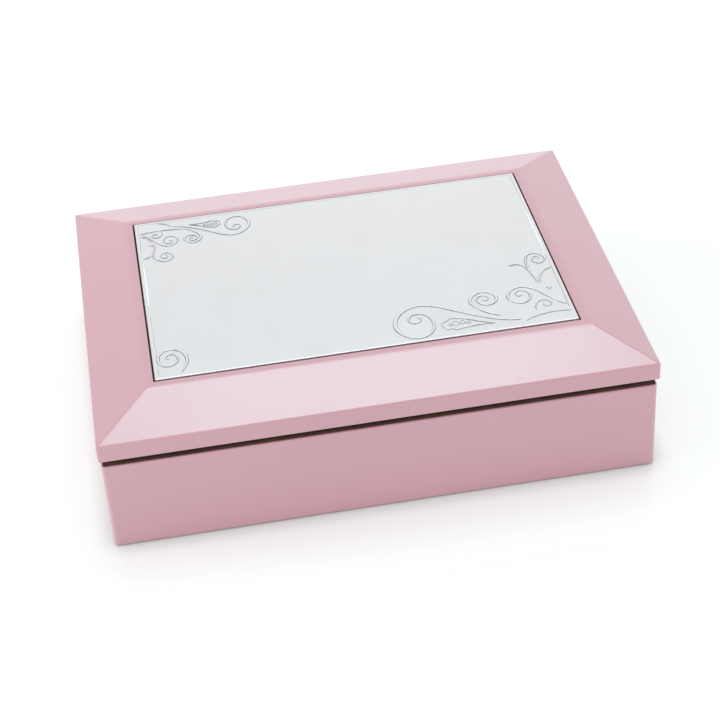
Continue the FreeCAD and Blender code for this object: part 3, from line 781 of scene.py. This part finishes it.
def make_body():
    bm = bmesh.new()
    leg = [(0, 0, 7.9), (0, -0.15, 9.6), (0.05, 0, 12.4), (0.1, 0.3, 16.4)]
    leg += [(0.2, -0.1, 20.8), (0.45, -0.1, 26.3), (0.85, 0, 31)]
    tube(bm, leg, (0.7, 0.95, 0.92, 1.5, 1.22, 1.75, 2.3))
    tube(bm, [(-0.8, 0, 31), (-3.4, -1.5, 28.4), (-6.0, -2.9, 25.2)], (2.3, 1.75, 1.15))
    shin = [(-6.0, -2.9, 25.2), (-4.4, -2.6, 23.6), (-2.5, -2.0, 21.5), (-1.0, -1.4, 20.2)]
    tube(bm, shin, (1.15, 1.3, 0.82, 0.5))
    torso = [(0, 0, 31.4), (0, 0.1, 34), (0, 0.1, 37), (0, 0, 40), (0, 0.1, 42.6), (0, 0.15, 44.4)]
    tube(bm, torso, (2.8, 2.6, 1.95, 2.4, 2.6, 1.9), sides=24, flat=0.78)
    tube(bm, [(-2.5, 0.1, 44.2), (0, 0.15, 44.8), (2.5, 0.1, 44.2)], (0.9, 1.0, 1.0, 0.9))
    tube(bm, [(0, 0.15, 44.6), (0, 0.1, 46.4), (0, 0.05, 48.2)], (1.15, 0.92, 1.0))
    for s in (-1, 1):
        ball(bm, (s * 1.05, -1.55, 41.7), (1.0, 0.8, 0.95))
        arm = [(s * 2.5, 0.1, 44.2), (s * 4.7, -0.2, 47.0), (s * 6.0, -0.7, 50.6)]
        arm += [(s * 5.6, -0.95, 54.0), (s * 4.2, -1.1, 57.4)]
        tube(bm, arm, (0.92, 0.88, 0.72, 0.68, 0.46))
        hand = [(s * 4.2, -1.1, 57.4), (s * 3.2, -1.15, 59.2), (s * 2.1, -1.2, 60.4), (s * 1.1, -1.3, 61.2)]
        tube(bm, hand, (0.45, 0.62, 0.48, 0.26), step=0.3, flat=0.55)
        thumb = [(s * 3.7, -1.3, 58.2), (s * 3.1, -1.75, 59.0), (s * 2.5, -1.9, 59.7)]
        tube(bm, thumb, (0.26, 0.24, 0.18), step=0.2, sides=10)
        ball(bm, (s * 1.15, -1.75, 49.5), (0.9, 0.8, 0.9))
        ball(bm, (s * 0.98, -2.42, 50.42), (0.52, 0.4, 0.34))
        ball(bm, (s * 2.5, 0.25, 50.1), (0.28, 0.5, 0.7))
    ball(bm, (0, -0.2, 50.5), (2.5, 2.75, 3.0), 32)
    ball(bm, (0, -1.45, 48.3), (1.25, 1.25, 1.15), 24)
    nose = [(0, -2.6, 51.0), (0, -2.95, 50.2), (0, -3.2, 49.75)]
    tube(bm, nose, (0.2, 0.24, 0.32), step=0.2, sides=12)
    ball(bm, (0, -2.55, 48.62), (0.62, 0.35, 0.36))
    body = dancer_piece("dancer_body", bm, MATERIALS["doll"], voxel=SKIN_GRAIN)
    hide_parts("dancer_figure")
    return body


def make_face(body):
    """Lashes, brows and lips laid on the head's own surface, by dropping each point onto it."""
    points = [v.co / MM for v in body.data.vertices]
    skin = BVHTree.FromPolygons(points, [p.vertices for p in body.data.polygons])
    into = LAID.to_3x3() @ Vector((0, 1, 0))

    def on_skin(x, z):
        return LAID.inverted() @ skin.ray_cast(LAID @ Vector((x, -9.0, z)), into)[0]

    dark, brows, lips = bmesh.new(), bmesh.new(), bmesh.new()
    for s in (-1, 1):
        across = (0.5, 0.66, 0.83, 1.0, 1.17, 1.34, 1.5)
        lash = [on_skin(s * x, 50.28 - 0.2 * (1 - ((x - 1.0) / 0.55) ** 2)) for x in across]
        tube(dark, lash, (0.035, 0.07, 0.085, 0.06), step=0.1, sides=8)
        across = (0.55, 0.8, 1.05, 1.3, 1.55, 1.75)
        brow = [on_skin(s * x, 51.3 + 0.2 * (1 - ((x - 1.15) / 0.65) ** 2)) for x in across]
        tube(brows, brow, (0.05, 0.07, 0.06, 0.03), step=0.15, sides=8)
    across = (-0.58, -0.4, -0.2, 0, 0.2, 0.4, 0.58)
    upper = [on_skin(x, 48.78 + 0.07 * math.cos(x * 9.0) - 0.1 * x * x) for x in across]
    tube(lips, upper, (0.03, 0.1, 0.13, 0.1, 0.03), step=0.1, sides=10)
    across = (-0.46, -0.3, -0.15, 0, 0.15, 0.3, 0.46)
    lower = [on_skin(x, 48.52 + 0.28 * x * x) for x in across]
    tube(lips, lower, (0.03, 0.12, 0.16, 0.12, 0.03), step=0.1, sides=10)
    dancer_piece("dancer_lashes", dark, LASH)
    dancer_piece("dancer_brows", brows, HAIR)
    dancer_piece("dancer_lips", lips, ROSE)


def make_hair_pieces():
    bm = bmesh.new()
    centre, bun = Vector((0, 0.5, 50.9)), Vector((0, 1.95, 53.35))
    ball(bm, centre, (2.7, 2.8, 2.85), 96)
    for v in bm.verts:
        way = v.co - centre
        comb = math.sin(26.0 * math.atan2(way.x, way.z + 0.6) + 2.0 * way.y)
        v.co += way.normalized() * 0.05 * comb
    strands = bmesh.new()
    ball(strands, bun, (1.55, 1.3, 1.45), 64)
    for v in strands.verts:
        way = v.co - bun
        twist = math.sin(7.0 * math.atan2(way.z, way.x) + 5.5 * way.y)
        v.co += way.normalized() * 0.07 * twist
    dancer_piece("dancer_hair", bm, HAIR)
    dancer_piece("dancer_bun", strands, HAIR)
    band = bmesh.new()
    axis = (bun - centre).normalized()
    side = axis.orthogonal().normalized()
    loop = []
    for k in range(25):
        a = k * math.pi / 12
        loop.append(bun - axis * 0.85 + (side * math.cos(a) + axis.cross(side) * math.sin(a)) * 1.22)
    tube(band, loop, (0.2, 0.2), step=0.3, sides=10)
    dancer_piece("dancer_hair_ribbon", band, PINK_SATIN)


def make_costume():
    bm = bmesh.new()
    line = [(0, 0, 31.0), (0, 0.1, 34), (0, 0.1, 37), (0, 0, 40), (0, 0.05, 42.0)]
    tube(bm, line, (2.75, 2.85, 2.15, 2.6, 2.72), sides=32, flat=0.8)
    for s in (-1, 1):
        ball(bm, (s * 1.05, -1.55, 41.7), (1.15, 0.95, 1.05), 24)
    dancer_piece("dancer_bodice", bm, PINK_SATIN, voxel=SKIN_GRAIN)
    bm = bmesh.new()
    for s in (-1, 1):
        strap = [(s * 1.5, -2.0, 42.2), (s * 1.75, -1.35, 43.9), (s * 1.85, -0.2, 45.35)]
        strap += [(s * 1.75, 1.1, 44.6), (s * 1.5, 1.95, 42.4)]
        tube(bm, strap, (0.16, 0.16), step=0.3, sides=10)
    for z, r in ((35.9, 2.32), (36.3, 2.24)):
        turns = [k * math.pi / 16 for k in range(33)]
        ring = [(r * math.cos(a), 0.1 + 0.82 * r * math.sin(a), z) for a in turns]
        tube(bm, ring, (0.17, 0.17), step=0.3, sides=10)
    dancer_piece("dancer_straps", bm, make_satin("satin_rose", (0.60, 0.20, 0.28)))
    bm = bmesh.new()
    standing = [(0, 0, 7.5), (0, -0.12, 9.2), (0, -0.08, 10.6), (0.03, 0, 11.8)]
    tube(bm, standing, (0.82, 1.1, 1.1, 1.0), step=0.3, sides=20)
    raised = [(-2.95, -2.15, 21.95), (-2.2, -1.9, 21.25), (-1.5, -1.6, 20.6), (-0.95, -1.35, 20.15)]
    tube(bm, raised, (0.9, 0.88, 0.75, 0.58), step=0.2, sides=16)
    for hand in (-1, 1):
        wrap = []
        for k in range(31):
            a = hand * k / 30 * 2.3 * math.pi + math.pi / 2
            r = 1.0 + 0.26 * k / 30
            height = 11.7 + 2.6 * k / 30
            wrap.append((0.06 + r * math.cos(a), 0.06 + r * math.sin(a), height))
        tube(bm, wrap, (0.12, 0.12), step=0.25, sides=8)
    tube(bm, [(0, 0, 6.3), (0, 0, 7.4)], (1.05, 1.0), step=0.3, sides=24)
    dancer_piece("dancer_shoes", bm, PINK_SATIN)


NET_HOLE_R, NET_RING = 6.3, 10.7  # the flat cut: the hole's radius and the ring's breadth
WAIST_R = 3.25
WAIST_Z = 34.0


def tutu_layer(number, fall, reach, waves):
    """One gathered round of net: cut as a flat ring, drawn in at the waist, so it stands in waves."""
    bm = bmesh.new()
    rings = []
    around = waves * 12
    for i in range(17):
        t = i / 16
        cut = NET_HOLE_R + NET_RING * t
        r = WAIST_R + reach * t
        fullness = max(1.0, cut / r)
        wave = 1.5 * math.sqrt(fullness * fullness - 1.0) * r / waves
        ring = []
        for j in range(around):
            a = 2 * math.pi * j / around
            swing = a + 0.05 * math.sin(3 * a + number) + 0.03 * math.sin(7 * a + 2 * number)
            uneven = 1.0 + 0.15 * math.sin(5 * a + number)
            lift = wave * math.sin(waves * swing + 1.3 * number) * uneven
            tip = 0.18 * t * t * math.sin(2 * waves * a)
            x = r * math.cos(a) + 0.4 * lift * math.cos(a) * t * 0.3
            z = WAIST_Z - 0.35 * number - fall * t * (0.75 + 0.25 * t) + lift
            ring.append(bm.verts.new((x, r * math.sin(a), z + tip)))
        rings.append(ring)
    join_rings(bm, rings, caps=False)
    obj = dancer_piece("dancer_tutu_%d" % number, bm, MATERIALS["tulle"])
    return obj


dancer_body = make_body()
make_face(dancer_body)
make_hair_pieces()
make_costume()
net = [tutu_layer(0, 4.6, 8.9, 15), tutu_layer(1, 5.8, 8.7, 16), tutu_layer(2, 7.0, 8.3, 15)]
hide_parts("dancer_tutu")


# ---------------------------------------------------------------- the dancer's coil spring


COIL_TURNS, COIL_STEPS = 10, 16
COIL_R, WIRE_R = 1.95, 0.36
COIL_Z0, COIL_HEIGHT = 32.2, 9.3


def folded(spot, start, end):
    low, high = 0.0, 1.0
    for _ in range(30):
        w = (low + high) / 2
        p = PIVOT + spun("X", 90 * w) @ (spot - PIVOT)
        t = min(1.0, max(0.0, (p - start).dot(end - start) / (end - start).length_squared))
        low, high = (w, high) if t * t * (3 - 2 * t) > w else (low, w)
    return p


def make_spring():
    bm = bmesh.new()
    line = []
    total = COIL_TURNS * COIL_STEPS
    for k in range(total + 1):
        a = 2 * math.pi * k / COIL_STEPS
        tight = min(1.0, k / COIL_STEPS, (total - k) / COIL_STEPS)
        z = COIL_Z0 + COIL_HEIGHT * (k / total)
        line.append((COIL_R * math.cos(a), PIVOT.y + COIL_R * math.sin(a), z + 0.1 * tight))
    tube(bm, line, (WIRE_R, WIRE_R), step=0.8, sides=8, front=(0, 0, 1))
    start, end = Vector((0, PIVOT.y, 32.5)), Vector((0, 13.5, PIVOT.z))
    for v in bm.verts:
        v.co = folded(v.co.copy(), start, end)
    obj = add_piece("coil_spring", bm, [MATERIALS["steel"]], None)
    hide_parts("dancer_spring")
    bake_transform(obj)


make_spring()


# ---------------------------------------------------------------- camera, floor, light


CAMERA_PLACE = (-82.0, -671.78, 513.38)
FLOOR_HALF, FLOOR_Z = 6.0, -0.0001  # metres; just under the felt, so the two never coincide
SHADOW_REACH = 0.009


def make_camera():
    data = bpy.data.cameras.new("camera")
    data.lens = 93.54
    data.sensor_width = 36.0
    data.clip_start = 0.01
    obj = bpy.data.objects.new("camera", data)
    bpy.context.collection.objects.link(obj)
    turn = spun("Z", 4.002) @ spun("X", -53.43) @ spun("Z", 7.243)
    place = Matrix.Translation(Vector(CAMERA_PLACE) * MM)
    obj.matrix_world = place @ turn.transposed().to_4x4()
    bpy.context.scene.camera = obj


def make_floor():
    mesh = bpy.data.meshes.new("floor")
    s, z = FLOOR_HALF, FLOOR_Z
    mesh.from_pydata([(-s, -s, z), (s, -s, z), (s, s, z), (-s, s, z)], [], [(0, 1, 2, 3)])
    obj = bpy.data.objects.new("floor", mesh)
    bpy.context.collection.objects.link(obj)
    f = Finish("floor_white", (0.54, 0.57, 0.56), 0.12)
    f.set("Specular IOR Level", 0.5)
    f.set("Emission Strength", 0.42)
    # Painted contact shadow: ambient occlusion dims the floor's glow within SHADOW_REACH of the box.
    painted_contact_shadow = f.tree.nodes.new("ShaderNodeAmbientOcclusion")
    painted_contact_shadow.inputs["Distance"].default_value = SHADOW_REACH
    f.tree.links.new(painted_contact_shadow.outputs["Color"], f.bsdf.inputs["Emission Color"])
    mesh.materials.append(f.mat)


def area_light(name, place, target, width, height, power, color=(1, 1, 1)):
    data = bpy.data.lights.new(name, "AREA")
    data.shape = "RECTANGLE"
    data.size = width
    data.size_y = height
    data.energy = power
    data.color = color
    obj = bpy.data.objects.new(name, data)
    bpy.context.collection.objects.link(obj)
    way = Vector(target) - Vector(place)
    turn = way.to_track_quat("-Z", "Y").to_matrix().to_4x4()
    obj.matrix_world = Matrix.Translation(place) @ turn


def make_lights():
    world = bpy.data.worlds.new("world")
    world.use_nodes = True
    background = world.node_tree.nodes["Background"]
    background.inputs["Color"].default_value = (1.0, 0.985, 0.99, 1.0)
    background.inputs["Strength"].default_value = 0.785
    bpy.context.scene.world = world
    area_light("top_back", (0.12, 0.36, 1.2), (0, -0.05, 0.05), 0.7, 0.45, 3.35, (0.66, 1.0, 0.97))
    area_light("front", (-0.5, -1.6, 1.0), (0, 0, 0.03), 0.7, 0.5, 4.4, (1.0, 0.72, 0.76))
    area_light("left", (-1.6, 0.0, 0.7), (0, 0, 0.03), 1.0, 1.0, 10.0)
    area_light("right", (1.6, 0.2, 0.7), (0, 0, 0.03), 1.0, 1.0, 2.6)
    area_light("back_low", (0.3, 1.8, 0.55), (0, 0, 0.05), 2.4, 0.9, 2.4)


make_camera()
make_floor()
make_lights()
bpy.context.scene.view_settings.view_transform = "Standard"
